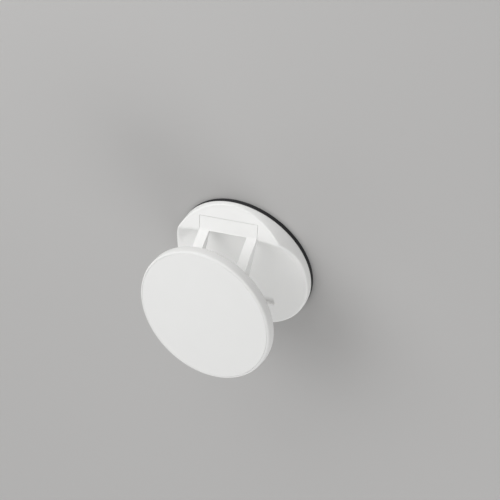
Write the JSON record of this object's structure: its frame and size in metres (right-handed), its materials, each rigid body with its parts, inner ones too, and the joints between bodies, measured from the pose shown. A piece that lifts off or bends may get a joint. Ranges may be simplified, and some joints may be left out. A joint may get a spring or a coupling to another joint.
{
  "type": "phone grip",
  "caption": "Foldable stick-on phone grip and stand: a round base with a hinged open bracket that carries a round sliding cap, on a foam adhesive pad.",
  "frame": {"origin": "centre of the adhesive pad's flat face, which sticks to the back of a phone", "axes": "+Z away from the phone, X along both hinge pins, +Y from the base's centre towards the ridge that holds the bracket"},
  "size_m": [0.0442, 0.0445, 0.0305],
  "materials": {
    "foam": "matte closed-cell foam",
    "white_shell": "fine satin texture",
    "inner_plastic": "plain moulded",
    "steel": "ground"
  },
  "bodies": {
    "base": {"adhesive_pad": "foam", "base_body": "white_shell", "base_plate": "inner_plastic", "base_pin": "steel"},
    "bracket": {"bracket": "white_shell", "cap_pin": "steel"},
    "slider": {"cap_slider": "inner_plastic"},
    "cap": {"cap_body": "white_shell", "cap_face": "white_shell"}
  },
  "joints": [
    {"name": "base_hinge", "type": "hinge", "parent": "base", "child": "bracket", "pos_m": [0, 0.01546, 0.00474], "axis": [1, 0, 0], "range_deg": [0, 48.6]},
    {"name": "cap_hinge", "type": "hinge", "parent": "bracket", "child": "slider", "pos_m": [0, 0.00242, 0.02171], "axis": [1, 0, 0], "range_deg": [-41, 0]},
    {"name": "cap_slide", "type": "slide", "parent": "slider", "child": "cap", "axis": [0, 0.9912, -0.1323], "range_m": [0, 0.00949]}
  ],
  "couplings": [
    {"joint": "cap_hinge", "follows": "base_hinge", "ratio": -0.84362}
  ]
}
